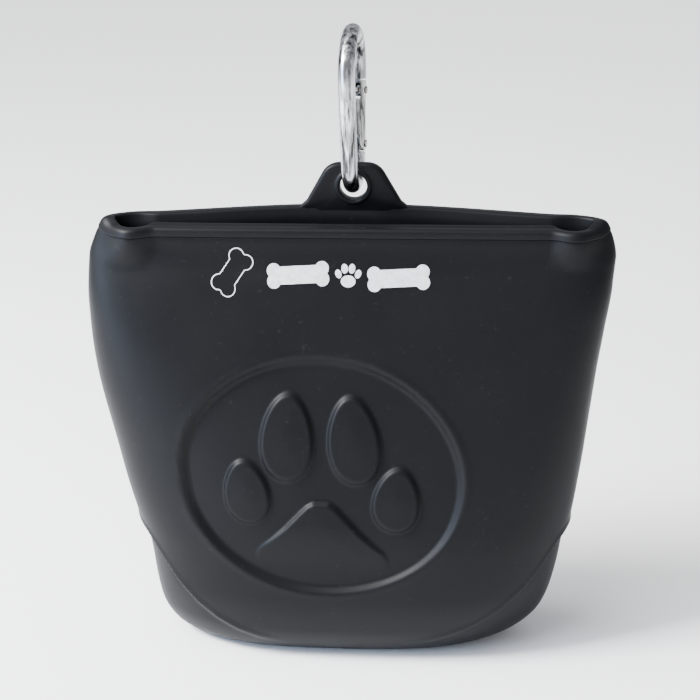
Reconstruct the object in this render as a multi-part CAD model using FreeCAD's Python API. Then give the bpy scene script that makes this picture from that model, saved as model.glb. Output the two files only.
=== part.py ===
import FreeCAD, Part
import math
import os

# Silicone treat pouch that hangs on a small steel spring snap.
#
# Frame: +Z up, the front faces -Y, X runs along the mouth. The origin is under the middle of the
# bounding box, on the surface that the pouch stands on. Millimetres.
#
# The silicone is one moulding on the real pouch. It is cut here along a plane just behind the
# front wall, so that the front wall can swing forward on a hinge line at its foot and open the
# mouth.

V = FreeCAD.Vector

# ------------------------------------------------------------------ driving dimensions
HEIGHT = 116.0          # base to the top of the lips
BASE_T = 2.8            # base thickness
WALL_T = 2.3            # side, front and rear walls
LIP_T = 3.4             # lips, thick enough to hold the magnets
BEAD_H = 3.2            # raised bead round the outside of the mouth
BEAD_OUT = 1.0          # how far the bead stands out of the wall
REAR_BOW = 6.0          # how far the rear lip bows back in the middle
BOW_HALF_SPAN = 60.0
PART_GAP = 0.3          # between front wall and rear shell along the cutting plane
Y_CENTRE = 1.385        # moves the middle of the pouch's depth onto the origin

# half width, front depth, rear depth and squareness of the outside at each height
LEVELS = [
    # z,    half_w, front, rear, squareness
    (0.0,   39.6,  13.0, 10.5, 2.7),
    (1.5,   43.9,  15.6, 12.8, 2.7),
    (4.5,   48.2,  18.4, 15.2, 2.75),
    (10.0,  52.0,  21.2, 17.6, 2.8),
    (20.0,  54.9,  23.2, 19.2, 2.9),
    (32.0,  57.0,  23.0, 19.4, 3.1),
    (44.0,  59.4,  21.3, 18.4, 3.4),
    (58.0,  61.7,  18.6, 16.4, 4.0),
    (74.0,  64.2,  14.9, 13.4, 5.2),
    (88.0,  65.8,  11.2, 10.2, 7.5),
    (99.0,  66.6,  7.6,  7.3, 12.0),
    (106.0, 66.6,  5.3,  5.3, 19.0),
    (111.0, 65.4,  4.4,  4.4, 26.0),
    (116.0, 63.0,  4.2,  4.2, 28.0),
]
SECTION_POINTS = 48

# hanging tab
TAB_BASE_W = 27.2
TAB_TOP_W = 12.9        # where the sloping sides meet the level top
TAB_CORNER_R = 5.0
TAB_TOP_Z = 128.0
TAB_T = 2.8
TAB_Y = 8.5             # middle of the tab, behind the mouth's plane
HOLE_R = 3.4
HOLE_Z = 122.0
HOLE_RING_R = 4.9
HOLE_RING_T = 3.6

# magnets, one pair in each lip
MAGNET = (16.0, 1.5, 5.0)
MAGNET_X = 41.5
MAGNET_Z = 111.6
MAGNET_CORNER_R = 0.4

# mouth hinge
PLANE_TOP_Y = 0.25      # the cutting plane at the top of the lips
PLANE_SLOPE = 0.1535    # how much it leans forward per millimetre down
MOUTH_AXIS_Z = 2.5

# snap hook, all in the YZ plane
WIRE_R = 2.1
BOTTOM_R = 7.0          # centre line of the small bend
TOP_R = 10.0            # centre line of the large bend
BEND_Z = 129.4          # centre of the small bend
TOP_Z = 150.9           # centre of the large bend
SNAP_TURN = -4.0        # degrees about the upright, as the snap stands loose in the tab's hole
TONGUE_T = 1.5
TONGUE_U = 1.6          # from the hinge pin to the tongue's square end
SLOT_W = 1.8
STUB_U = 0.4            # where the round wire ends below the hinge
HINGE_U = 2.6           # along the gate side, from the end of the small bend
HINGE_PIN_R = 0.7
HINGE_CLEAR = 0.05
LATCH_U = 16.2
LATCH_PIN_R = 0.65
GATE_END_U = 18.6
NOSE_U = 19.1
GATE_BORE_R = 1.1
BORE_END_U = 11.9
PLUNGER_R = 1.0
PLUNGER_GAP = 0.12
SPRING_R = 0.82
SPRING_WIRE_R = 0.15


# ------------------------------------------------------------------ smooth tables
def slopes(xs, ys):
    """Slopes of a monotone cubic through the points."""
    n = len(xs)
    h = [xs[i + 1] - xs[i] for i in range(n - 1)]
    d = [(ys[i + 1] - ys[i]) / h[i] for i in range(n - 1)]
    m = [0.0] * n
    for i in range(1, n - 1):
        if d[i - 1] * d[i] > 0:
            w1, w2 = 2 * h[i] + h[i - 1], h[i] + 2 * h[i - 1]
            m[i] = (w1 + w2) / (w1 / d[i - 1] + w2 / d[i])
    m[0], m[-1] = d[0], d[-1]
    return m


def table(column):
    xs = [row[0] for row in LEVELS]
    ys = [row[column] for row in LEVELS]
    ms = slopes(xs, ys)

    def value(z):
        z = min(max(z, xs[0]), xs[-1])
        i = max(k for k in range(len(xs) - 1) if xs[k] <= z + 1e-12)
        h = xs[i + 1] - xs[i]
        t = (z - xs[i]) / h
        return (
            (2 * t**3 - 3 * t**2 + 1) * ys[i]
            + (t**3 - 2 * t**2 + t) * h * ms[i]
            + (-2 * t**3 + 3 * t**2) * ys[i + 1]
            + (t**3 - t**2) * h * ms[i + 1]
        )

    return value


HALF_W, FRONT, REAR, SQUARE = (table(c) for c in (1, 2, 3, 4))


def smooth(a, b, x):
    t = min(max((x - a) / (b - a), 0.0), 1.0)
    return t * t * (3 - 2 * t)


def quarter(a, d, m, n):
    """n + 1 points of a superellipse quarter, closer together where it turns."""
    fine = []
    k = 400
    for i in range(k + 1):
        w = i / k * math.pi / 2
        # from the middle of the side to the end, dense at the end
        x = a * (1 - (1 - math.sin(w)) ** 2.2)
        y = d * math.sqrt(max(0.0, 1 - min(1.0, x / a) ** m))
        fine.append((x, y))
    fine[-1] = (a, 0.0)
    run = [0.0]
    last = 0.0
    for i in range(1, len(fine)):
        dx, dy = fine[i][0] - fine[i - 1][0], fine[i][1] - fine[i - 1][1]
        turn = math.atan2(-dy, dx)
        run.append(run[-1] + math.hypot(dx, dy) + 12.0 * abs(turn - last))
        last = turn
    out = []
    j = 0
    for i in range(n + 1):
        want = run[-1] * i / n
        while j < len(run) - 2 and run[j + 1] < want:
            j += 1
        t = (want - run[j]) / max(run[j + 1] - run[j], 1e-9)
        out.append(
            (
                fine[j][0] + t * (fine[j + 1][0] - fine[j][0]),
                fine[j][1] + t * (fine[j + 1][1] - fine[j][1]),
            )
        )
    out[0], out[-1] = (0.0, d), (a, 0.0)
    return out


def bow(x, z):
    """The rear wall bows back near the mouth."""
    u = min(1.0, abs(x) / BOW_HALF_SPAN)
    return REAR_BOW * smooth(60.0, 114.0, z) * (1 - u * u) ** 2


def ring(z, grow=0.0, end_grow=None):
    """A section at height z as closed (x, y) points in the mouth's frame, grown all round."""
    n = SECTION_POINTS // 4
    a, m = HALF_W(z) + (grow if end_grow is None else end_grow), SQUARE(z)
    rear, front = quarter(a, REAR(z) + grow, m, n), quarter(a, FRONT(z) + grow, m, n)
    pts = []
    for x, y in reversed(rear[1:]):       # +X end round to the rear middle
        pts.append((x, y + bow(x, z)))
    for x, y in rear[:-1]:                # rear middle to the -X end
        pts.append((-x, y + bow(x, z)))
    for x, y in reversed(front[1:]):
        pts.append((-x, -y))
    for x, y in front[:-1]:
        pts.append((x, -y))
    return pts


def wire(pts, z):
    curve = Part.BSplineCurve()
    curve.interpolate(
        Points=[V(x, y + Y_CENTRE, z) for x, y in pts], PeriodicFlag=True
    )
    return Part.Wire([curve.toShape()])


def thickness(z):
    return WALL_T + (LIP_T - WALL_T) * smooth(97.0, 107.0, z)


# ------------------------------------------------------------------ silicone
def silicone():
    """The outside, the space inside and the bead, each as a solid block."""
    bead_z = HEIGHT - BEAD_H
    heights = [row[0] for row in LEVELS if row[0] < bead_z] + [bead_z]
    outside = Part.makeLoft([wire(ring(z), z) for z in heights], True, False)
    bead = Part.makeLoft(
        [
            wire(ring(bead_z, BEAD_OUT - 0.4), bead_z),
            wire(ring(bead_z + 0.9, BEAD_OUT), bead_z + 0.9),
            wire(ring(HEIGHT - 0.9, BEAD_OUT), HEIGHT - 0.9),
            wire(ring(HEIGHT, BEAD_OUT - 0.6), HEIGHT),
        ],
        True,
        True,
    )
    inside_wires = []
    for z in (BASE_T, 6.0, 12.0, 20.0, 32.0, 44.0, 58.0, 74.0, 88.0, 96.0, 101.0, 106.0, 111.0, 114.0, 118.0):
        level = min(z, HEIGHT)
        t = thickness(level)
        # near the base the wall leans, so it takes more than its own thickness sideways
        lean = 1.9 * (1 - smooth(BASE_T, 14.0, z))
        inside_wires.append(wire(ring(level, -(t + lean), -(t + lean + 0.8)), z))
    inside = Part.makeLoft(inside_wires, True, False)
    return outside, inside, bead


def tab():
    """Plate with sloping sides and a level top with round corners, with a hole in a raised ring."""
    y = TAB_Y + Y_CENTRE
    low = HEIGHT - 7.0
    shoulder = HEIGHT - 0.6
    b, t = TAB_BASE_W / 2, TAB_TOP_W / 2
    pts = [V(-b, 0, low), V(b, 0, low), V(b, 0, shoulder), V(t, 0, TAB_TOP_Z), V(-t, 0, TAB_TOP_Z), V(-b, 0, shoulder)]
    plate = Part.Face(Part.makePolygon(pts + [pts[0]])).extrude(V(0, TAB_T, 0))
    corners = [
        e for e in plate.Edges
        if abs(e.CenterOfMass.z - TAB_TOP_Z) < 1e-6 and abs(e.tangentAt(e.FirstParameter).y) > 0.9
    ]
    plate = plate.makeFillet(TAB_CORNER_R, corners)
    plate.translate(V(0, y - TAB_T / 2, 0))
    ring_solid = Part.makeCylinder(
        HOLE_RING_R, HOLE_RING_T, V(0, y - HOLE_RING_T / 2, HOLE_Z), V(0, 1, 0)
    )
    # the ring ends above the lips
    keep = Part.makeBox(30, 20, 30, V(-15, y - 10, HEIGHT + 0.02))
    ring_solid = ring_solid.common(keep)
    hole = Part.makeCylinder(HOLE_R, 12, V(0, y - 6, HOLE_Z), V(0, 1, 0))
    return plate, ring_solid, hole


def magnet(side, rear):
    """A rounded block in the lip, at x = side * MAGNET_X."""
    length, t, h = MAGNET
    block = Part.makeBox(length, t, h, V(-length / 2, -t / 2, -h / 2))
    block = block.makeFillet(MAGNET_CORNER_R, [e for e in block.Edges if abs(e.tangentAt(e.FirstParameter).y) > 0.9])
    x = side * MAGNET_X
    z = MAGNET_Z
    if rear:
        # the rear lip bows, so the magnet turns with it
        mid = 0.5 * (REAR(z) + REAR(z) - LIP_T) + bow(x, z)
        slope = (bow(x + 1, z) - bow(x - 1, z)) / 2
        block.rotate(V(0, 0, 0), V(0, 0, 1), math.degrees(math.atan(slope)))
        block.translate(V(x, mid + Y_CENTRE, z))
    else:
        mid = -(FRONT(z) - LIP_T / 2)
        block.translate(V(x, mid + Y_CENTRE, z))
    return block


def plane_y(z):
    return PLANE_TOP_Y - PLANE_SLOPE * (HEIGHT - z) + Y_CENTRE


def half_space(front):
    """A big block on one side of the cutting plane, PART_GAP / 2 clear of it."""
    g = PART_GAP / 2 * (-1 if front else 1)
    z0, z1 = -20.0, 180.0
    y0, y1 = plane_y(z0) + g, plane_y(z1) + g
    far = -120.0 if front else 120.0
    pts = [V(-100, y0, z0), V(-100, y1, z1), V(-100, far, z1), V(-100, far, z0)]
    return Part.Face(Part.makePolygon(pts + [pts[0]])).extrude(V(200, 0, 0))


# ------------------------------------------------------------------ snap hook
ALPHA = math.asin((TOP_R - BOTTOM_R) / (TOP_Z - BEND_Z))
HOOK_Y = TAB_Y + Y_CENTRE
DIR = (math.sin(ALPHA), math.cos(ALPHA))      # up the gate side, in (y, z)
OUT = (math.cos(ALPHA), -math.sin(ALPHA))     # outwards from the loop
FOOT = (HOOK_Y + BOTTOM_R * OUT[0], BEND_Z + BOTTOM_R * OUT[1])
CROWN = (HOOK_Y + TOP_R * OUT[0], TOP_Z + TOP_R * OUT[1])


def local(u, v, x=0.0):
    """A point by its distance up the gate side and outwards from its centre line."""
    return V(x, FOOT[0] + u * DIR[0] + v * OUT[0], FOOT[1] + u * DIR[1] + v * OUT[1])


def u_axis():
    return V(0, DIR[0], DIR[1])


def plate_uv(points, thick):
    """A flat piece in the hook's plane, thick along X, from (u, v) corners."""
    pts = [local(u, v, -thick / 2) for u, v in points]
    return Part.Face(Part.makePolygon(pts + [pts[0]])).extrude(V(thick, 0, 0))


def x_cylinder(u, v, r, half):
    return Part.makeCylinder(r, 2 * half, local(u, v, -half), V(1, 0, 0))


def rod(u0, u1, r):
    return Part.makeCylinder(r, u1 - u0, local(u0, 0), u_axis())


def frame_wire():
    y = HOOK_Y
    spine_foot = V(0, y - BOTTOM_R * OUT[0], FOOT[1])
    spine_crown = V(0, y - TOP_R * OUT[0], CROWN[1])
    start = local(STUB_U, 0)
    nose = local(NOSE_U, 0)
    edges = [
        Part.LineSegment(start, local(0, 0)).toShape(),
        Part.Arc(local(0, 0), V(0, y, BEND_Z - BOTTOM_R), spine_foot).toShape(),
        Part.LineSegment(spine_foot, spine_crown).toShape(),
        Part.Arc(spine_crown, V(0, y, TOP_Z + TOP_R), V(0, CROWN[0], CROWN[1])).toShape(),
        Part.LineSegment(V(0, CROWN[0], CROWN[1]), nose).toShape(),
    ]
    path = Part.Wire(edges)
    circle = Part.Wire([Part.Circle(start, u_axis(), WIRE_R).toShape()])
    body = path.makePipe(Part.Face(circle))
    return body


def carabiner_frame():
    body = frame_wire()
    # hinge tongue, flattened from the wire, with square shoulders for the plunger
    tongue = plate_uv([(-0.6, -1.3), (HINGE_U + TONGUE_U, -1.3), (HINGE_U + TONGUE_U, 1.3), (-0.6, 1.3)], TONGUE_T)
    pin_hole = x_cylinder(HINGE_U, 0, HINGE_PIN_R + HINGE_CLEAR, 2)
    # hooked nose: the latch pin sits in its notch and leaves towards the inside
    nose = plate_uv(
        [
            (NOSE_U + 0.8, -1.35), (NOSE_U - 1.0, -1.35), (NOSE_U - 1.9, 0.8), (LATCH_U - 0.85, 0.8),
            (LATCH_U - 0.85, -0.5), (LATCH_U - 1.6, -0.5), (LATCH_U - 1.6, 1.75), (NOSE_U + 0.8, 1.75),
        ],
        TONGUE_T,
    )
    body = body.fuse([tongue, nose]).cut(pin_hole)
    return body.removeSplitter()


def gate():
    body = rod(HINGE_U, GATE_END_U, WIRE_R)
    # rounded ears at the hinge end
    ear = x_cylinder(HINGE_U, 0, 1.8, WIRE_R)
    envelope = rod(HINGE_U - 2.2, HINGE_U + 0.5, WIRE_R)
    body = body.fuse(ear.common(envelope))
    slot = plate_uv([(HINGE_U - 4, -4), (HINGE_U + 2.4, -4), (HINGE_U + 2.4, 4), (HINGE_U - 4, 4)], SLOT_W)
    top_slot = plate_uv([(LATCH_U - 2.3, -4), (GATE_END_U + 1, -4), (GATE_END_U + 1, 4), (LATCH_U - 2.3, 4)], SLOT_W)
    bore = rod(HINGE_U + 1.2, BORE_END_U, GATE_BORE_R)
    pin = x_cylinder(HINGE_U, 0, HINGE_PIN_R, 4)
    latch = x_cylinder(LATCH_U, 0, LATCH_PIN_R, 4)
    body = body.cut([slot, top_slot, bore, pin, latch])
    return body.removeSplitter()


def rivet(u, r):
    """A pin through the gate, with its ends set into shallow domes."""
    pin = x_cylinder(u, 0, r, WIRE_R + 0.02)
    for s in (1, -1):
        head = Part.makeCylinder(r + 0.3, 0.35, local(u, 0, s * (WIRE_R + 0.02)), V(s, 0, 0))
        rim = [e for e in head.Edges if abs(e.CenterOfMass.x - s * (WIRE_R + 0.37)) < 1e-3]
        head = head.makeFillet(0.25, rim)
        pin = pin.fuse(head)
    return pin.removeSplitter()


def plunger():
    u0 = HINGE_U + TONGUE_U + PLUNGER_GAP
    body = rod(u0, u0 + 3.0, PLUNGER_R)
    rim = [e for e in body.Edges if e.CenterOfMass.distanceToPoint(local(u0 + 3.0, 0)) < 0.01 and len(e.Vertexes) == 1]
    if rim:
        body = body.makeChamfer(0.2, rim)
    return body


def spring():
    u0 = HINGE_U + TONGUE_U + PLUNGER_GAP + 3.0 + SPRING_WIRE_R + 0.03
    u1 = BORE_END_U - SPRING_WIRE_R - 0.03
    turns = 6
    helix = Part.makeHelix((u1 - u0) / turns, u1 - u0, SPRING_R)
    start = helix.Edges[0].valueAt(helix.Edges[0].FirstParameter)
    tangent = helix.Edges[0].tangentAt(helix.Edges[0].FirstParameter)
    circle = Part.Wire([Part.Circle(start, tangent, SPRING_WIRE_R).toShape()])
    coil = Part.Wire(helix.Edges).makePipeShell([circle], True, True)
    turn = FreeCAD.Rotation(V(0, 0, 1), u_axis())
    coil.Placement = FreeCAD.Placement(local(u0, 0), turn)
    return coil


# ------------------------------------------------------------------ build
def main():
    os.makedirs("parts", exist_ok=True)
    outside, inside, bead = silicone()
    plate, ring_solid, hole = tab()
    shell = outside.fuse(bead)
    shell = shell.cut(inside)
    front = shell.common(half_space(True))
    rear = shell.common(half_space(False)).fuse([plate, ring_solid]).cut(inside).cut(hole)
    made = {}
    pieces = {
        "magnet_front_left": magnet(-1, False),
        "magnet_front_right": magnet(1, False),
        "magnet_rear_left": magnet(-1, True),
        "magnet_rear_right": magnet(1, True),
    }
    front = front.cut([pieces["magnet_front_left"], pieces["magnet_front_right"]])
    rear = rear.cut([pieces["magnet_rear_left"], pieces["magnet_rear_right"]])
    made["front_wall"] = front
    made["pouch_shell"] = rear
    made.update(pieces)
    made["carabiner_frame"] = carabiner_frame()
    made["gate"] = gate()
    made["gate_hinge_rivet"] = rivet(HINGE_U, HINGE_PIN_R)
    made["latch_pin"] = rivet(LATCH_U, LATCH_PIN_R)
    made["gate_plunger"] = plunger()
    made["gate_spring"] = spring()
    for name in ("carabiner_frame", "gate", "gate_hinge_rivet", "latch_pin", "gate_plunger", "gate_spring"):
        made[name].rotate(V(0, HOOK_Y, 0), V(0, 0, 1), SNAP_TURN)
    for name, shape in made.items():
        solids = shape.Solids
        shape.exportStep("parts/%s.step" % name)
        b = shape.optimalBoundingBox(False, False)
        print(
            "%-20s solids %d valid %s volume %9.2f  x %7.2f %7.2f  y %7.2f %7.2f  z %7.2f %7.2f"
            % (name, len(solids), shape.isValid(), shape.Volume, b.XMin, b.XMax, b.YMin, b.YMax, b.ZMin, b.ZMax)
        )
    boxes = [s.optimalBoundingBox(False, False) for s in made.values()]
    print("y centre", (min(b.YMin for b in boxes) + max(b.YMax for b in boxes)) / 2)
    print("hinge axis", plane_y(MOUTH_AXIS_Z), MOUTH_AXIS_Z)
    turn = FreeCAD.Rotation(V(0, 0, 1), SNAP_TURN)
    hub = V(0, HOOK_Y, 0)
    print("swing axis", HOOK_Y, BEND_Z, "along", turn.multVec(V(1, 0, 0)))
    h = turn.multVec(local(HINGE_U, 0) - hub) + hub
    print("gate axis", h, "up the gate", turn.multVec(u_axis()))


main()
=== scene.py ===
import math

import bmesh
import bpy
import numpy as np
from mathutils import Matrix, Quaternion, Vector
from mathutils.bvhtree import BVHTree


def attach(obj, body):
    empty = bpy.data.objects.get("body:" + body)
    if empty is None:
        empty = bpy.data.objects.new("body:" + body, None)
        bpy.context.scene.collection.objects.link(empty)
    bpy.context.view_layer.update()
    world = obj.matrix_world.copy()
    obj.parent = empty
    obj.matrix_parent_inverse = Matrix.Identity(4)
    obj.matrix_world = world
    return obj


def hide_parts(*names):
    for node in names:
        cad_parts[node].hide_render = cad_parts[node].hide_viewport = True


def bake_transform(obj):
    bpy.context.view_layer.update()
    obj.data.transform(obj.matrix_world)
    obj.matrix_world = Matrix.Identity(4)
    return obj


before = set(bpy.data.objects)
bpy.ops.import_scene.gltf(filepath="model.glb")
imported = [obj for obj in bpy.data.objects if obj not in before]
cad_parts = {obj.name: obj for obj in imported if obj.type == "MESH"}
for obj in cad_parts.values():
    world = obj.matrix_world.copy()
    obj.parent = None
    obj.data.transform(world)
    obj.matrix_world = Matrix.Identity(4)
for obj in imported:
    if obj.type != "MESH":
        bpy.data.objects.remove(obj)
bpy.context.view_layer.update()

MM = 0.001

# ---------------------------------------------------------------- the pouch's form, in mm
HEIGHT = 116.0
BASE_T = 2.8
WALL_T = 2.3
LIP_T = 2.6
BEAD_Z = 112.7
BEAD_OUT = 1.05
REAR_BOW = 6.0
YC = 1.385               # the mouth's middle plane, in the frame's Y
TAB_Y = 8.5
HOLE_Z = 122.0

LEVELS = np.array([
    # z,    half_w, front, rear, squareness
    (0.0,   39.6,  13.0, 10.5, 2.7),
    (1.5,   43.9,  15.6, 12.8, 2.7),
    (4.5,   48.2,  18.4, 15.2, 2.75),
    (10.0,  52.0,  21.2, 17.6, 2.8),
    (20.0,  54.9,  23.2, 19.2, 2.9),
    (32.0,  57.0,  23.0, 19.4, 3.1),
    (44.0,  59.4,  21.3, 18.4, 3.4),
    (58.0,  61.7,  18.6, 16.4, 4.0),
    (74.0,  64.2,  14.9, 13.4, 5.2),
    (88.0,  65.8,  11.2, 10.2, 7.5),
    (99.0,  66.6,  7.6,  7.3, 11.5),
    (106.0, 66.6,  5.3,  5.3, 12.5),
    (111.0, 65.4,  4.4,  4.4, 11.0),
    (116.0, 63.0,  4.2,  4.2, 9.0),
])


def table(column):
    xs, ys = LEVELS[:, 0], LEVELS[:, column]
    h = np.diff(xs)
    d = np.diff(ys) / h
    m = np.zeros(len(xs))
    for i in range(1, len(xs) - 1):
        if d[i - 1] * d[i] > 0:
            w1, w2 = 2 * h[i] + h[i - 1], h[i] + 2 * h[i - 1]
            m[i] = (w1 + w2) / (w1 / d[i - 1] + w2 / d[i])
    m[0], m[-1] = d[0], d[-1]

    def value(z):
        z = np.clip(np.asarray(z, float), xs[0], xs[-1])
        i = np.clip(np.searchsorted(xs, z, side="right") - 1, 0, len(xs) - 2)
        t = (z - xs[i]) / h[i]
        return (
            (2 * t**3 - 3 * t**2 + 1) * ys[i]
            + (t**3 - 2 * t**2 + t) * h[i] * m[i]
            + (-2 * t**3 + 3 * t**2) * ys[i + 1]
            + (t**3 - t**2) * h[i] * m[i + 1]
        )

    return value


HALF_W, FRONT, REAR, SQUARE = (table(c) for c in (1, 2, 3, 4))


def smooth(a, b, x):
    t = np.clip((np.asarray(x, float) - a) / (b - a), 0.0, 1.0)
    return t * t * (3 - 2 * t)


def bow(x, z):
    u = np.minimum(1.0, np.abs(x) / 60.0)
    return REAR_BOW * smooth(60.0, 114.0, z) * (1 - u * u) ** 2


def bulb(x, z):
    """The lips part again near each end of the mouth."""
    u = np.clip(np.abs(np.abs(x) - 56.4) / 7.2, 0.0, 1.0)
    return (1 - u * u) ** 2 * smooth(103.0, 114.0, z)


def quarter(a, d, m, bulge, z, near, n):
    """n points of a section from x = near * a round to the end at x = a, y = 0."""
    w = np.linspace(0.0, 1.0, 1500)
    x = a * (near + (1 - near) * (1 - (1 - w) ** 3.0))
    y = (d + bulge * bulb(x, z)) * np.sqrt(np.maximum(0.0, 1 - np.minimum(1.0, x / a) ** m))
    x[-1], y[-1] = a, 0.0
    dx, dy = np.diff(x), np.diff(y)
    turn = np.unwrap(np.arctan2(-dy, dx))
    bend = np.abs(np.diff(turn, prepend=turn[0]))
    run = np.concatenate([[0.0], np.cumsum(np.hypot(dx, dy) + 7.0 * bend)])
    want = np.linspace(0.0, run[-1], n)
    return np.interp(want, run, x), np.interp(want, run, y)


NEAR_F, NEAR_R = 0.66, 0.72
N_FRONT, N_END, N_REAR = 188, 34, 64


def section(z, grow, in_front=None, in_rear=None, bulge=(3.0, 0.8), end=None, width=None):
    """One closed ring of points at height z, in mm, in the mouth's frame."""
    a = (HALF_W(z) if width is None else width) + (grow if end is None else end)
    m = float(SQUARE(z))
    df = FRONT(z) + grow if in_front is None else in_front
    dr = REAR(z) + grow if in_rear is None else in_rear
    fx = np.linspace(-NEAR_F, NEAR_F, N_FRONT + 1) * a
    fy = -(df + bulge[0] * bulb(fx, z)) * np.sqrt(1 - np.abs(fx / a) ** m)
    ex, ey = quarter(a, df, m, bulge[0], z, NEAR_F, N_END + 1)
    qx, qy = quarter(a, dr, m, bulge[1], z, NEAR_R, N_END + 1)
    rx = np.linspace(NEAR_R, -NEAR_R, N_REAR + 1) * a
    ry = (dr + bulge[1] * bulb(rx, z)) * np.sqrt(1 - np.abs(rx / a) ** m)
    x = np.concatenate([fx, ex[1:], qx[::-1][1:], rx[1:], -qx[1:], -ex[::-1][1:-1]])
    y = np.concatenate([fy, -ey[1:], qy[::-1][1:], ry[1:], qy[1:], -ey[::-1][1:-1]])
    y = np.where(y > 0, y + bow(x, z), y)
    return np.stack([x, y, np.full_like(x, z)], -1)


def thickness(z):
    return WALL_T + 1.0 * smooth(97.0, 106.0, z) - 0.7 * smooth(113.6, 115.6, z)


FRONT_DROP = 1.5        # the front lip sags a little below the rear one


def sway(z):
    """The soft body leans a little to one side and back as it stands."""
    z = np.clip(np.asarray(z, float), SWAY_Z[0], SWAY_Z[-1])
    i = np.clip(np.searchsorted(SWAY_Z, z, side="right") - 1, 0, len(SWAY_Z) - 2)
    m = np.gradient(SWAY, SWAY_Z)
    h = np.diff(SWAY_Z)[i]
    t = (z - SWAY_Z[i]) / h
    return (
        (2 * t**3 - 3 * t**2 + 1) * SWAY[i] + (t**3 - 2 * t**2 + t) * h * m[i]
        + (-2 * t**3 + 3 * t**2) * SWAY[i + 1] + (t**3 - t**2) * h * m[i + 1]
    )


SWAY_Z = np.array([0.0, 7.0, 20.0, 50.0, 80.0, 100.0, 112.0, 116.0])
SWAY = np.array([-3.9, -2.1, -0.7, -1.3, -2.4, -1.2, 0.0, 0.2])


# ---------------------------------------------------------------- what stands in or out of the wall
EMBLEM = (-6.0, 52.6)
OVAL = (36.8, 31.2)
TILT = 2.0


def egg(p, q, cx, cy, hw, hh, lean, taper):
    c, s = math.cos(math.radians(lean)), math.sin(math.radians(lean))
    dp, dq = p - cx, q - cy
    a, b = c * dp - s * dq, s * dp + c * dq
    t = np.clip(b / hh, -1.3, 1.3)
    f = np.sqrt((a / (hw * (1 - taper * t))) ** 2 + t**2)
    return (f - 1) * min(hw, hh)


def segment(p, q, a, b):
    ax, ay, bx, by = *a, *b
    t = np.clip(((p - ax) * (bx - ax) + (q - ay) * (by - ay)) / ((bx - ax) ** 2 + (by - ay) ** 2), 0, 1)
    return np.hypot(p - ax - t * (bx - ax), q - ay - t * (by - ay))


PAD = [
    (-2.0, -6.4), (2.0, -6.4), (3.6, -7.3), (5.2, -8.9), (9.5, -13.5), (13.2, -16.9), (15.8, -19.0),
    (17.0, -21.0), (16.9, -23.4), (14.6, -25.2), (9.0, -25.6), (0.0, -25.0), (-9.0, -25.6),
    (-14.6, -25.2), (-16.9, -23.4), (-17.0, -21.0), (-15.8, -19.0), (-13.2, -16.9), (-9.5, -13.5),
    (-5.2, -8.9), (-3.6, -7.3),
]


def inside_distance(p, q, poly):
    """Signed distance to a closed outline: negative inside."""
    d = np.full(p.shape, 1e9)
    inside = np.zeros(p.shape, bool)
    for i in range(len(poly)):
        a, b = poly[i - 1], poly[i]
        d = np.minimum(d, segment(p, q, a, b))
        cross = ((a[1] > q) != (b[1] > q)) & (
            p < (b[0] - a[0]) * (q - a[1]) / ((b[1] - a[1]) if b[1] != a[1] else 1e-9) + a[0]
        )
        inside ^= cross
    return np.where(inside, -d, d)


def emblem(x, z):
    """How far the front stands out, in mm: an oval panel set in, with a raised paw."""
    p, q = x - EMBLEM[0], (z - EMBLEM[1]) * 1.01
    c, sn = math.cos(math.radians(TILT)), math.sin(math.radians(TILT))
    p, q = c * p - sn * q, sn * p + c * q
    r = np.sqrt((p / OVAL[0]) ** 2 + (q / OVAL[1]) ** 2)
    d = (r - 1) * (OVAL[0] + OVAL[1]) / 2
    recess = 1.55 * (1 - smooth(-2.3, 0.0, d))
    roll = 0.16 * np.exp(-((d - 0.5) / 0.9) ** 2)
    toes = [
        egg(p, q, -8.5, 10.2, 6.5, 11.2, 4.0, 0.16),
        egg(p, q, 8.5, 10.2, 6.5, 11.2, -4.0, 0.16),
        egg(p, q, -19.2, -4.6, 5.8, 8.3, -7.0, 0.18),
        egg(p, q, 19.2, -4.6, 5.8, 8.3, 7.0, 0.18),
    ]
    up = np.zeros(p.shape)
    for t in toes:
        up = np.maximum(up, 1.2 * (1 - smooth(-0.65, 0.55, t)) + 0.25 * smooth(0.5, 6.0, -t))
    pad = inside_distance(p, q, PAD)
    fade = smooth(-26.0, -12.0, q)
    up = np.maximum(up, (1.2 * (1 - smooth(-0.65, 0.55, pad)) + 0.2 * smooth(0.5, 6.0, -pad)) * fade)
    return -recess + roll + up


def gusset_line(x):
    """Height of the step that runs from the sides down across the front and rear."""
    u = np.abs(x)
    return np.interp(u, [0, 14, 22, 28, 34, 40, 46, 50, 54, 60], [3.4, 4.4, 6.2, 8.4, 11.4, 15.6, 21.2, 26.4, 31.6, 36.0])


def gusset(x, z):
    u = np.abs(x)
    size = 0.12 + 1.05 * smooth(24.0, 52.0, u)
    d = z - gusset_line(x)
    # thin ridge along the step, then the wall below it set in
    ridge = 0.28 * np.exp(-((d - 0.5) / 0.8) ** 2) * smooth(10.0, 26.0, u)
    return -size * (1 - smooth(-1.1, 0.3, d)) * smooth(-30.0, -6.0, d) + ridge


# ---------------------------------------------------------------- the silicone as one mesh
def grid_faces(rows, cols, start, flip=False):
    faces = []
    for r in range(rows - 1):
        a, b = start + r * cols, start + (r + 1) * cols
        for c in range(cols):
            n = (c + 1) % cols
            f = (a + c, a + n, b + n, b + c)
            faces.append(f[::-1] if flip else f)
    return faces


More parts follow.
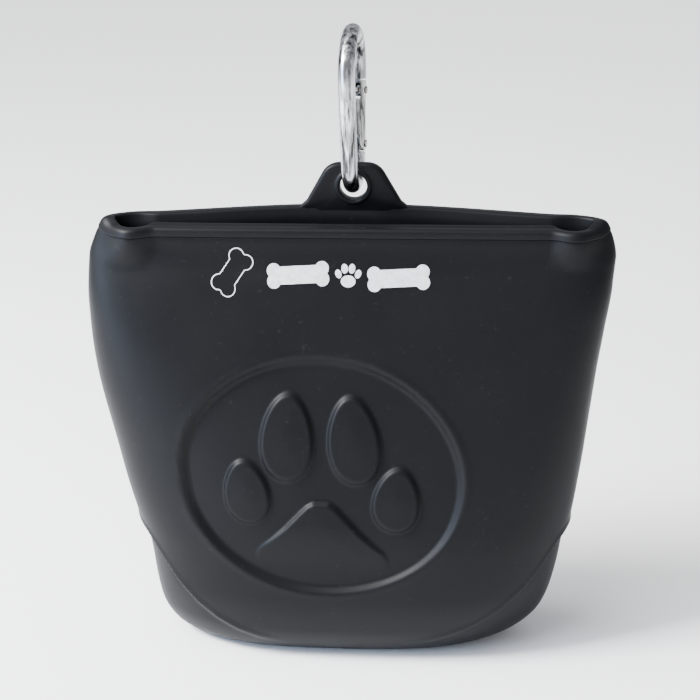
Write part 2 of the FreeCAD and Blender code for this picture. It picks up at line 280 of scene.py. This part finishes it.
def silicone_rings():
    outer_z = np.concatenate([
        [0.0, 0.25, 0.6, 1.0, 1.5, 2.1, 2.8, 3.6, 4.5, 5.5],
        np.linspace(6.3, 15.0, 13),
        np.linspace(15.5, 80.5, 130),
        np.linspace(81.4, 92.0, 12),
        np.linspace(93.2, 110.4, 15),
        [111.3, 112.1, 112.8, 113.2, 113.45],
    ])
    rings = [section(z, 0.0) for z in outer_z]
    base = np.array(rings)
    # outward normals of the plain form
    du = np.roll(base, -1, 1) - np.roll(base, 1, 1)
    dv = np.gradient(base, axis=0)
    n = np.cross(du, dv)
    n /= np.maximum(np.linalg.norm(n, axis=-1, keepdims=True), 1e-9)
    x, y, z = base[..., 0], base[..., 1], base[..., 2]
    h = gusset(x, z)
    front = smooth(0.0, 4.0, -y) * (np.abs(x) < 42) * (z > 10) * (z < 84)
    h = h + np.where(front > 0, emblem(x, z) * front, 0.0)
    # soft uneven swell of a hollow moulding
    h = h + 0.22 * np.sin(x / 17.0 + 0.6) * np.sin(z / 21.0 + 0.4) * smooth(3, 20, z) * (1 - smooth(96, 110, z))
    base = base + n * h[..., None]
    rings = list(base)
    # bead round the mouth, then the level lip, then down the inside
    def lip(z, out):
        zz = min(z, HEIGHT)
        return section(zz, out) + np.array([0, 0, z - zz])
    r = 1.15
    rings.append(section(113.48, -0.32, end=-0.02))
    rings.append(section(113.52, -0.36, end=-0.02))
    rings.append(section(113.55, 0.12, end=0.03))
    rings.append(section(113.59, 0.55, end=0.12))
    rings.append(section(113.68, BEAD_OUT - 0.12, end=0.22))
    for z in (113.85, 114.2, 114.55, 114.8):
        rings.append(section(z, BEAD_OUT, end=0.25))
    for k in range(1, 7):
        a = k / 6 * math.pi / 2
        out = -r + r * math.cos(a)
        rings.append(section(HEIGHT - r + r * math.sin(a), BEAD_OUT + out, end=0.25 + out))
    outer_count = len(rings)

    def inner(z, t, open_front=1.3, open_rear=0.9):
        zz = min(z, HEIGHT)
        return section(
            zz, -t,
            bulge=(3.0 + open_front, 0.8 + open_rear),
            end=-(t + 0.6),
        )
    top = section(HEIGHT, 0.0)
    ri = 0.9
    inner_rings = []
    inside_top = inner(HEIGHT, LIP_T)
    edge = rings[-1]
    for k in (0.35, 0.7):
        ring = edge * (1 - k) + inner(HEIGHT, LIP_T - ri) * k
        ring[:, 2] = HEIGHT
        inner_rings.append(ring)
    for k in range(0, 5):
        a = k / 4 * math.pi / 2
        inner_rings.append(inner(HEIGHT - ri + ri * math.cos(a), LIP_T - ri + ri * math.sin(a)))
    for z in (114.2, 112.5, 110.0, 107.0, 104.0, 101.0, 98.0, 94.0, 89.0, 83.0, 76.0, 68.0, 59.0, 50.0, 41.0, 32.0, 24.0, 17.0, 12.0, 8.5, 6.0, 4.4, 3.4):
        lean = 1.9 * (1 - float(smooth(BASE_T, 14.0, z)))
        inner_rings.append(inner(z, float(thickness(z)) + lean))
    # floor of the inside, closing to a line in the middle
    floor = inner(BASE_T, WALL_T + 1.9)
    floor[:, 2] = BASE_T
    inner_rings.append(floor)
    for k in (0.9, 0.72, 0.45, 0.15):
        ring = floor.copy()
        ring[:, :2] *= k
        inner_rings.append(ring)
    # underside, closing likewise
    under = []
    for k in (0.12, 0.4, 0.7, 0.9, 0.97):
        ring = rings[0].copy()
        ring[:, :2] *= k
        ring[:, 2] = 0.0
        under.append(ring)
    every = under + rings + inner_rings
    for ring in every:
        ring[:, 2] -= FRONT_DROP * smooth(0.0, 3.5, -ring[:, 1]) * smooth(100.0, 113.0, ring[:, 2])
        u = np.minimum(1.0, np.abs(ring[:, 0]) / 60.0)
        ring[:, 2] += 0.7 * (1 - u * u) ** 2 * smooth(2.0, 6.0, ring[:, 1]) * smooth(102.0, 114.0, ring[:, 2])
        ring[:, 0] += sway(ring[:, 2])
    return every, len(under), outer_count


def tab_mesh():
    """Polar grid round the hole: front face, rounded edge and rear face in one closed band."""
    b, t, top, r = 13.6, 6.45, 128.0, 5.0
    # outline as a dense polygon with round top corners and a flared foot
    side = np.array([t - b, top - 115.4])
    length = np.hypot(*side)
    side = side / length
    turn = math.atan2(side[1], -side[0])       # angle of the side above the level
    half = (math.pi - (math.pi - turn)) / 2
    tl = r * math.tan(half)
    right = []
    right += [(17.0, 108.5), (17.0, 112.0), (16.3, 114.2), (15.1, 115.5), (14.1, 116.3)]
    p0 = np.array([b, 115.4]) + side * 2.2
    right += [tuple(p0 + side * 0.6)]
    p1 = np.array([t, top]) - side * tl
    for k in np.linspace(0.15, 1.0, 5):
        right.append(tuple(p0 + (p1 - p0) * k))
    centre = np.array([t - tl, top - r])
    a0 = math.atan2(p1[1] - centre[1], p1[0] - centre[0])
    for k in np.linspace(0.15, 1.0, 8):
        a = a0 + (math.pi / 2 - a0) * k
        right.append((centre[0] + r * math.cos(a), centre[1] + r * math.sin(a)))
    outline = np.array(right + [(-x, z) for x, z in right[::-1]])
    n = 132
    hole = np.array([0.0, HOLE_Z])
    angles = np.linspace(0, 2 * math.pi, n, endpoint=False) + 0.01
    reach = np.zeros(n)
    for i, a in enumerate(angles):
        d = np.array([math.cos(a), math.sin(a)])
        best = 1e9
        for k in range(len(outline)):
            p, q = outline[k - 1], outline[k]
            e = q - p
            den = d[0] * e[1] - d[1] * e[0]
            if abs(den) < 1e-12:
                continue
            w = p - hole
            s = (w[0] * e[1] - w[1] * e[0]) / den
            u = (w[0] * d[1] - w[1] * d[0]) / den
            if s > 0 and -1e-9 <= u <= 1 + 1e-9:
                best = min(best, s)
        reach[i] = best
    stations = []
    # (radius from the hole or distance from the outline, half thickness)
    for rad, th in ((3.4, 0.9), (3.45, 1.35), (3.62, 1.68), (3.9, 1.85), (4.25, 1.85), (4.5, 1.72), (4.7, 1.48), (4.95, 1.4)):
        stations.append(("hole", rad, th))
    for k in (0.3, 0.65):
        stations.append(("mix", k, 1.4))
    for off, th in ((1.3, 1.4), (0.75, 1.34), (0.35, 1.15), (0.1, 0.8), (0.0, 0.35)):
        stations.append(("edge", off, th))
    rings = []
    full = stations + [(k, v, -th) for k, v, th in stations[::-1]]
    for kind, v, th in full:
        if kind == "hole":
            rad = np.full(n, v)
        elif kind == "edge":
            rad = reach - v
        else:
            rad = 4.95 + (reach - 1.3 - 4.95) * v
        rad = np.minimum(rad, reach)
        xx = hole[0] + rad * np.cos(angles)
        zz = hole[1] + rad * np.sin(angles)
        # the tab's foot thins inside the lip, so that the lip runs on below it
        foot = 1 - 0.5 * (1 - smooth(114.2, 117.0, zz))
        yy = np.full(n, -th) * foot
        rings.append(np.stack([xx, yy + TAB_Y, zz], -1))
    return rings, n


def make_silicone():
    rings, under_n, _ = silicone_rings()
    cols = len(rings[0])
    verts = np.concatenate(rings)
    faces = grid_faces(len(rings), cols, 0)
    # close the two lines in the middle of the floor and of the underside
    first, last = list(range(cols)), [(len(rings) - 1) * cols + c for c in range(cols)]
    centre_a, centre_b = len(verts), len(verts) + 1
    verts = np.concatenate([verts, [rings[0].mean(0)], [rings[-1].mean(0)]])
    for c in range(cols):
        n = (c + 1) % cols
        faces.append((first[n], first[c], centre_a))
        faces.append((last[c], last[n], centre_b))
    tab, tn = tab_mesh()
    start = len(verts)
    verts = np.concatenate([verts] + tab)
    k = len(tab)
    for r in range(k):
        a, b = start + r * tn, start + ((r + 1) % k) * tn
        for c in range(tn):
            n = (c + 1) % tn
            faces.append((a + c, b + c, b + n, a + n))
    verts = verts.copy()
    verts[:, 1] += YC
    mesh = bpy.data.meshes.new("silicone_body")
    mesh.from_pydata((verts * MM).tolist(), [], faces)
    mesh.update()
    bm = bmesh.new()
    bm.from_mesh(mesh)
    bmesh.ops.recalc_face_normals(bm, faces=bm.faces)
    bm.to_mesh(mesh)
    bm.free()
    mesh.shade_smooth()
    obj = bpy.data.objects.new("silicone_body", mesh)
    bpy.context.scene.collection.objects.link(obj)
    return obj, verts


silicone, verts_mm = make_silicone()

# ---------------------------------------------------------------- materials
def material(name):
    m = bpy.data.materials.new(name)
    m.use_nodes = True
    nt = m.node_tree
    nt.nodes.clear()
    out = nt.nodes.new("ShaderNodeOutputMaterial")
    b = nt.nodes.new("ShaderNodeBsdfPrincipled")
    nt.links.new(b.outputs["BSDF"], out.inputs["Surface"])
    return m, nt, b


def node(nt, kind, **values):
    n = nt.nodes.new(kind)
    for k, v in values.items():
        if hasattr(n, k):
            setattr(n, k, v)
        else:
            n.inputs[k].default_value = v
    return n


def ramp(nt, fac, stops):
    r = nt.nodes.new("ShaderNodeValToRGB")
    while len(r.color_ramp.elements) < len(stops):
        r.color_ramp.elements.new(0.5)
    for e, (pos, col) in zip(r.color_ramp.elements, stops):
        e.position = pos
        e.color = (*col, 1.0) if len(col) == 3 else col
    nt.links.new(fac, r.inputs["Fac"])
    return r


def noise(nt, coord, scale, detail=4.0, rough=0.55, distortion=0.0):
    n = nt.nodes.new("ShaderNodeTexNoise")
    n.inputs["Scale"].default_value = scale
    n.inputs["Detail"].default_value = detail
    n.inputs["Roughness"].default_value = rough
    n.inputs["Distortion"].default_value = distortion
    nt.links.new(coord, n.inputs["Vector"])
    return n


def silicone_material():
    m, nt, b = material("silicone_matte")
    pos = nt.nodes.new("ShaderNodeTexCoord").outputs["Object"]
    big = noise(nt, pos, 14.0, 3.0)
    col = ramp(nt, big.outputs["Fac"], [(0.3, (0.0026, 0.0028, 0.0034)), (0.7, (0.0037, 0.0039, 0.0046))])
    specks = noise(nt, pos, 900.0, 2.0, 0.5)
    dust = ramp(nt, specks.outputs["Fac"], [(0.66, (0, 0, 0)), (0.78, (1, 1, 1))])
    mix = nt.nodes.new("ShaderNodeMix")
    mix.data_type = "RGBA"
    scale = nt.nodes.new("ShaderNodeMath")
    scale.operation = "MULTIPLY"
    scale.inputs[1].default_value = 0.10
    nt.links.new(dust.outputs["Color"], scale.inputs[0])
    nt.links.new(scale.outputs[0], mix.inputs["Factor"])
    nt.links.new(col.outputs["Color"], mix.inputs["A"])
    mix.inputs["B"].default_value = (0.06, 0.062, 0.066, 1)
    nt.links.new(mix.outputs["Result"], b.inputs["Base Color"])
    mid = noise(nt, pos, 60.0, 4.0)
    rr = ramp(nt, mid.outputs["Fac"], [(0.25, (0.41, 0.41, 0.41)), (0.75, (0.50, 0.50, 0.50))])
    nt.links.new(rr.outputs["Color"], b.inputs["Roughness"])
    fine = noise(nt, pos, 2200.0, 3.0, 0.6)
    bump = nt.nodes.new("ShaderNodeBump")
    bump.inputs["Strength"].default_value = 0.10
    bump.inputs["Distance"].default_value = 0.00012
    nt.links.new(fine.outputs["Fac"], bump.inputs["Height"])
    soft = noise(nt, pos, 160.0, 2.0)
    bump2 = nt.nodes.new("ShaderNodeBump")
    bump2.inputs["Strength"].default_value = 0.05
    bump2.inputs["Distance"].default_value = 0.0004
    nt.links.new(soft.outputs["Fac"], bump2.inputs["Height"])
    nt.links.new(bump.outputs["Normal"], bump2.inputs["Normal"])
    nt.links.new(bump2.outputs["Normal"], b.inputs["Normal"])
    b.inputs["Specular IOR Level"].default_value = 0.14
    b.inputs["IOR"].default_value = 1.42
    b.inputs["Sheen Weight"].default_value = 0.01
    b.inputs["Sheen Roughness"].default_value = 0.45
    b.inputs["Sheen Tint"].default_value = (0.75, 0.82, 0.95, 1)
    return m


def steel_material(name, low, painted_highlight_tone, rough, grain, dark=0.35):
    m, nt, b = material(name)
    pos = nt.nodes.new("ShaderNodeTexCoord").outputs["Object"]
    cloud = noise(nt, pos, 240.0, 5.0, 0.6, 0.4)
    # Base colour: the metal's grey with painted reflection. Dark and bright bands stretched along the wire's
    # length stand in for the reflected surroundings and highlights (painted highlight). The small dark pits are
    # the metal's own marks.
    along = nt.nodes.new("ShaderNodeMapping")
    along.inputs["Scale"].default_value = (1.0, 0.8, 0.035)
    nt.links.new(pos, along.inputs["Vector"])
    painted_reflection_streaks = noise(nt, along.outputs["Vector"], 1050.0, 3.0, 0.6, 0.2)
    mid = tuple(0.45 * a + 0.25 * b for a, b in zip(low, painted_highlight_tone))
    painted_dark_band = tuple(0.16 * a for a in low)
    col = ramp(nt, painted_reflection_streaks.outputs["Fac"], [(0.41, painted_dark_band), (0.47, mid), (0.53, low), (0.60, painted_highlight_tone)])
    pits = noise(nt, pos, 1500.0, 2.0)
    spots = ramp(nt, pits.outputs["Fac"], [(0.28, (dark, dark, dark)), (0.36, (1, 1, 1))])
    mul = nt.nodes.new("ShaderNodeMix")
    mul.data_type = "RGBA"
    mul.blend_type = "MULTIPLY"
    mul.inputs["Factor"].default_value = 1.0
    nt.links.new(col.outputs["Color"], mul.inputs["A"])
    nt.links.new(spots.outputs["Color"], mul.inputs["B"])
    nt.links.new(mul.outputs["Result"], b.inputs["Base Color"])
    rr = ramp(nt, cloud.outputs["Fac"], [(0.2, (rough * 0.75,) * 3), (0.8, (rough * 1.4,) * 3)])
    nt.links.new(rr.outputs["Color"], b.inputs["Roughness"])
    # drawn wire: faint lines along the metal's length
    mp = nt.nodes.new("ShaderNodeMapping")
    mp.inputs["Scale"].default_value = (1.0, 1.0, 0.06)
    nt.links.new(pos, mp.inputs["Vector"])
    lines = noise(nt, mp.outputs["Vector"], grain, 3.0)
    bump = nt.nodes.new("ShaderNodeBump")
    bump.inputs["Strength"].default_value = 0.18
    bump.inputs["Distance"].default_value = 0.00005
    nt.links.new(lines.outputs["Fac"], bump.inputs["Height"])
    nt.links.new(bump.outputs["Normal"], b.inputs["Normal"])
    b.inputs["Metallic"].default_value = 1.0
    return m


def ink_material():
    m, nt, b = material("white_ink")
    pos = nt.nodes.new("ShaderNodeTexCoord").outputs["Object"]
    n = noise(nt, pos, 700.0, 3.0)
    col = ramp(nt, n.outputs["Fac"], [(0.3, (0.40, 0.41, 0.43)), (0.6, (0.54, 0.55, 0.57))])
    nt.links.new(col.outputs["Color"], b.inputs["Base Color"])
    rr = ramp(nt, n.outputs["Fac"], [(0.3, (0.5, 0.5, 0.5)), (0.7, (0.62, 0.62, 0.62))])
    nt.links.new(rr.outputs["Color"], b.inputs["Roughness"])
    return m


def floor_material():
    m, nt, b = material("pale_floor")
    pos = nt.nodes.new("ShaderNodeTexCoord").outputs["Object"]
    n = noise(nt, pos, 3.0, 2.0)
    col = ramp(nt, n.outputs["Fac"], [(0.3, (0.93, 0.93, 0.932)), (0.7, (0.95, 0.95, 0.952))])
    nt.links.new(col.outputs["Color"], b.inputs["Base Color"])
    b.inputs["Roughness"].default_value = 0.75
    b.inputs["Specular IOR Level"].default_value = 0.2
    return m


SILICONE = silicone_material()
WIRE = steel_material("zinc_wire", (0.28, 0.285, 0.29), (0.60, 0.61, 0.62), 0.20, 500.0)
GATE = steel_material("zinc_gate", (0.30, 0.30, 0.295), (0.62, 0.62, 0.61), 0.18, 700.0)
PINS = steel_material("steel_pin", (0.34, 0.32, 0.29), (0.52, 0.50, 0.47), 0.28, 900.0)
COIL = steel_material("spring_steel", (0.28, 0.28, 0.29), (0.44, 0.44, 0.46), 0.30, 900.0)
NICKEL = steel_material("nickel_block", (0.55, 0.55, 0.56), (0.68, 0.68, 0.69), 0.22, 500.0)
INK = ink_material()


def paint(obj, mat):
    obj.data.materials.clear()
    obj.data.materials.append(mat)


paint(silicone, SILICONE)
for name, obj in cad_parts.items():
    mat = {
        "carabiner_frame": WIRE, "gate": GATE, "gate_hinge_rivet": PINS, "latch_pin": PINS,
        "gate_plunger": PINS, "gate_spring": COIL,
    }.get(name, NICKEL if name.startswith("magnet") else SILICONE)
    paint(obj, mat)

# ---------------------------------------------------------------- printed marks, generic
SKIN = BVHTree.FromPolygons(
    [v.co.copy() for v in silicone.data.vertices], [tuple(p.vertices) for p in silicone.data.polygons]
)


def front_y(x, z):
    """Outside of the front wall, in mm, where the moulded surface really is."""
    hit = SKIN.ray_cast(Vector((x * MM, -0.08, z * MM)), Vector((0, 1, 0)))
    return hit[0].y / MM


def bone(cx, cz, length, height, lean, n=18):
    """Outline of a plain bone, as (x, z) points."""
    r = height * 0.29
    half = length / 2 - r
    s = height / 2 - r
    neck = height * 0.19
    pts = []
    for sx, sz, a0, a1 in (
        (1, 1, 150, -40), (1, -1, 40, -150), (-1, -1, -30, -220), (-1, 1, -140, -330),
    ):
        for k in range(n + 1):
            a = math.radians(a0 + (a1 - a0) * k / n)
            pts.append((sx * half + r * math.cos(a), sz * s + r * math.sin(a)))
    c, sn = math.cos(math.radians(lean)), math.sin(math.radians(lean))
    return [(cx + c * x - sn * z, cz + sn * x + c * z) for x, z in pts]


def flat_piece(name, loops, lift=0.07, body="front_flap"):
    """A thin printed area between outlines, laid on the front wall."""
    bm = bmesh.new()
    for loop in loops:
        vs = [bm.verts.new((x, 0.0, z)) for x, z in loop]
        for i in range(len(vs)):
            bm.edges.new((vs[i - 1], vs[i]))
    bmesh.ops.triangle_fill(bm, edges=bm.edges, use_beauty=True, use_dissolve=False)
    for _ in range(2):
        long = [e for e in bm.edges if e.calc_length() > 1.2]
        if long:
            bmesh.ops.subdivide_edges(bm, edges=long, cuts=1)
            bmesh.ops.triangulate(bm, faces=bm.faces)
    for v in bm.verts:
        x, z = v.co.x, v.co.z
        y = front_y(x, z) - lift
        v.co = Vector((x * MM, y * MM, z * MM))
    bmesh.ops.recalc_face_normals(bm, faces=bm.faces)
    if sum(f.normal.y * f.calc_area() for f in bm.faces) > 0:
        bmesh.ops.reverse_faces(bm, faces=bm.faces)
    mesh = bpy.data.meshes.new(name)
    bm.to_mesh(mesh)
    bm.free()
    mesh.shade_smooth()
    obj = bpy.data.objects.new(name, mesh)
    bpy.context.scene.collection.objects.link(obj)
    paint(obj, INK)
    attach(obj, body)
    return obj


def shrink(loop, k, centre):
    return [(centre[0] + (x - centre[0]) * k, centre[1] + (z - centre[1]) * k) for x, z in loop]


def inset(loop, d):
    """The same closed outline moved in by d."""
    pts = np.array(loop)
    area = 0.5 * np.sum(pts[:, 0] * np.roll(pts[:, 1], -1) - np.roll(pts[:, 0], -1) * pts[:, 1])
    t = np.roll(pts, -1, 0) - np.roll(pts, 1, 0)
    t /= np.linalg.norm(t, axis=1, keepdims=True)
    nrm = np.stack([-t[:, 1], t[:, 0]], -1) * (1 if area > 0 else -1)
    return [tuple(p) for p in pts + nrm * d]


def oval(cx, cz, hw, hh, lean=0.0, n=26):
    c, sn = math.cos(math.radians(lean)), math.sin(math.radians(lean))
    pts = [(hw * math.cos(2 * math.pi * k / n), hh * math.sin(2 * math.pi * k / n)) for k in range(n)]
    return [(cx + c * x - sn * z, cz + sn * x + c * z) for x, z in pts]


def small_paw(cx, cz, k):
    """A pad and four toes, as separate loops."""
    return [
        oval(cx, cz - 1.1 * k, 1.75 * k, 1.35 * k),
        oval(cx - 2.35 * k, cz + 0.55 * k, 0.72 * k, 1.02 * k, 22),
        oval(cx - 0.88 * k, cz + 1.75 * k, 0.78 * k, 1.12 * k, 6),
        oval(cx + 0.88 * k, cz + 1.75 * k, 0.78 * k, 1.12 * k, -6),
        oval(cx + 2.35 * k, cz + 0.55 * k, 0.72 * k, 1.02 * k, -22),
    ]


icon = bone(-29.8, 103.4, 11.6, 6.8, 55)
flat_piece("print_outline_bone", [icon, inset(icon, 0.26)])
flat_piece("print_bone_left", [bone(-13.2, 102.9, 15.6, 6.0, 3)])
flat_piece("print_paw", small_paw(-0.6, 102.6, 1.05))
flat_piece("print_bone_right", [bone(12.0, 102.3, 15.6, 6.0, 3)])

# ---------------------------------------------------------------- camera, floor and light
AZ, EL, ROLL, DIST, LENS = 4.5, 21.2, -0.85, 0.466, 93.4
TARGET = Vector((-0.0008, 0.0, 0.0810))
a, e = math.radians(AZ), math.radians(EL)
back = Vector((math.sin(a) * math.cos(e), -math.cos(a) * math.cos(e), math.sin(e)))
cam_data = bpy.data.cameras.new("camera")
cam = bpy.data.objects.new("camera", cam_data)
bpy.context.scene.collection.objects.link(cam)
cam.location = TARGET + back * DIST
q = (-back).to_track_quat("-Z", "Y")
cam.rotation_mode = "QUATERNION"
cam.rotation_quaternion = q @ Quaternion((0, 0, 1), math.radians(ROLL))
cam_data.lens = LENS
cam_data.sensor_width = 36.0
cam_data.clip_start = 0.01
cam_data.shift_x = 0.0
cam_data.shift_y = 0.0
bpy.context.scene.camera = cam

bpy.ops.mesh.primitive_plane_add(size=12.0, location=(0, 0, 0))
floor = bpy.context.object
floor.name = "floor"
paint(floor, floor_material())

world = bpy.data.worlds.new("world")
world.use_nodes = True
bpy.context.scene.world = world
wn = world.node_tree
bg = wn.nodes["Background"]
bg.inputs["Color"].default_value = (0.93, 0.95, 1.0, 1)
bg.inputs["Strength"].default_value = 0.80


def area(name, place, size, power, colour=(1, 1, 1)):
    data = bpy.data.lights.new(name, "AREA")
    data.shape = "RECTANGLE"
    data.size, data.size_y = size
    data.energy = power
    data.color = colour
    obj = bpy.data.objects.new(name, data)
    bpy.context.scene.collection.objects.link(obj)
    obj.location = place
    d = Vector((0, 0, 0.07)) - Vector(place)
    obj.rotation_mode = "QUATERNION"
    obj.rotation_quaternion = d.to_track_quat("-Z", "Y")
    return obj


area("key", (-0.50, -0.20, 0.52), (0.22, 0.22), 20.0)
area("left_fill", (-0.75, -0.45, 0.22), (0.3, 0.5), 10.0, (0.50, 0.68, 1.0))

sky = bpy.data.lights.new("soft_sun", "SUN")
sky.energy = 3.4
sky.angle = math.radians(55)
sun = bpy.data.objects.new("soft_sun", sky)
bpy.context.scene.collection.objects.link(sun)
sun.rotation_mode = "QUATERNION"
sun.rotation_quaternion = Vector((0.55, 0.25, -1.0)).to_track_quat("-Z", "Y")

# ---------------------------------------------------------------- what moves with what
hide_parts("pouch_shell", "front_wall")
slope = 0.1535
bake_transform(silicone)


def blend_weights(v):
    """0 behind, 1 in front, changing round the two ends of every section."""
    x, y, z = v[:, 0], v[:, 1] - YC, v[:, 2]
    aw = HALF_W(z)
    plane = 0.25 - slope * (HEIGHT - z)
    # in front of the plane by the share of the front's own depth
    width = 0.45 + 6.0 * smooth(0.80, 0.98, np.abs(x) / aw)
    s = (plane - y) / width
    t = np.clip(0.5 + 0.5 * s, 0.0, 1.0)
    return t * t * (3 - 2 * t)


w = blend_weights(verts_mm)
